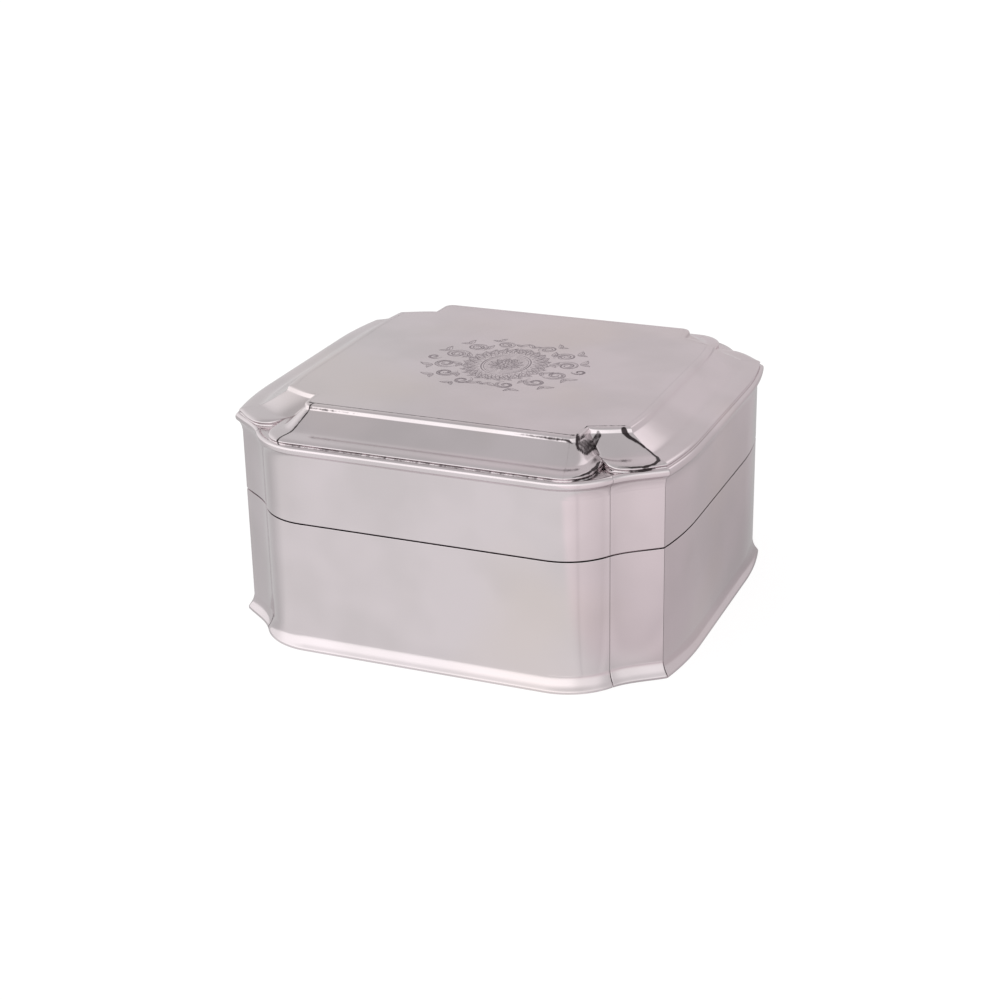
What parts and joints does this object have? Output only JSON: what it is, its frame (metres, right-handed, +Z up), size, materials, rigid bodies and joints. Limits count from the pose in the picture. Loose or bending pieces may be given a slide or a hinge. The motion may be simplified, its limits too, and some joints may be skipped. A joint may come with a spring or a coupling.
{
  "type": "trinket box",
  "caption": "Small silver table box with canted corners behind rounded shoulders, a flared foot and a deep pull-off lid with a moulded border round a flat panel",
  "frame": {"origin": "on the surface the box stands on, under the middle of the foot", "axes": "+Z up, the long front faces -Y, +X to the right seen from the front"},
  "size_m": [0.1038, 0.1002, 0.0528],
  "materials": {
    "silver": "polished"
  },
  "bodies": {
    "body": {"base_plate": "silver", "bezel": "silver", "body_back": "silver", "body_corner_back_left": "silver", "body_corner_back_right": "silver", "body_corner_front_left": "silver", "body_corner_front_right": "silver", "body_front": "silver", "body_left": "silver", "body_right": "silver", "foot_back": "silver", "foot_corner_back_left": "silver", "foot_corner_back_right": "silver", "foot_corner_front_left": "silver", "foot_corner_front_right": "silver", "foot_front": "silver", "foot_left": "silver", "foot_right": "silver"},
    "lid": {"border_back": "silver", "border_corner_back_left": "silver", "border_corner_back_right": "silver", "border_corner_front_left": "silver", "border_corner_front_right": "silver", "border_front": "silver", "border_left": "silver", "border_right": "silver", "lid_back": "silver", "lid_corner_back_left": "silver", "lid_corner_back_right": "silver", "lid_corner_front_left": "silver", "lid_corner_front_right": "silver", "lid_front": "silver", "lid_left": "silver", "lid_panel": "silver", "lid_right": "silver", "rim_back": "silver", "rim_corner_back_left": "silver", "rim_corner_back_right": "silver", "rim_corner_front_left": "silver", "rim_corner_front_right": "silver", "rim_front": "silver", "rim_left": "silver", "rim_right": "silver"}
  },
  "joints": [
    {"name": "lid_lift", "type": "slide", "parent": "body", "child": "lid", "axis": [0, 0, 1], "range_m": [0, 0.06]}
  ]
}
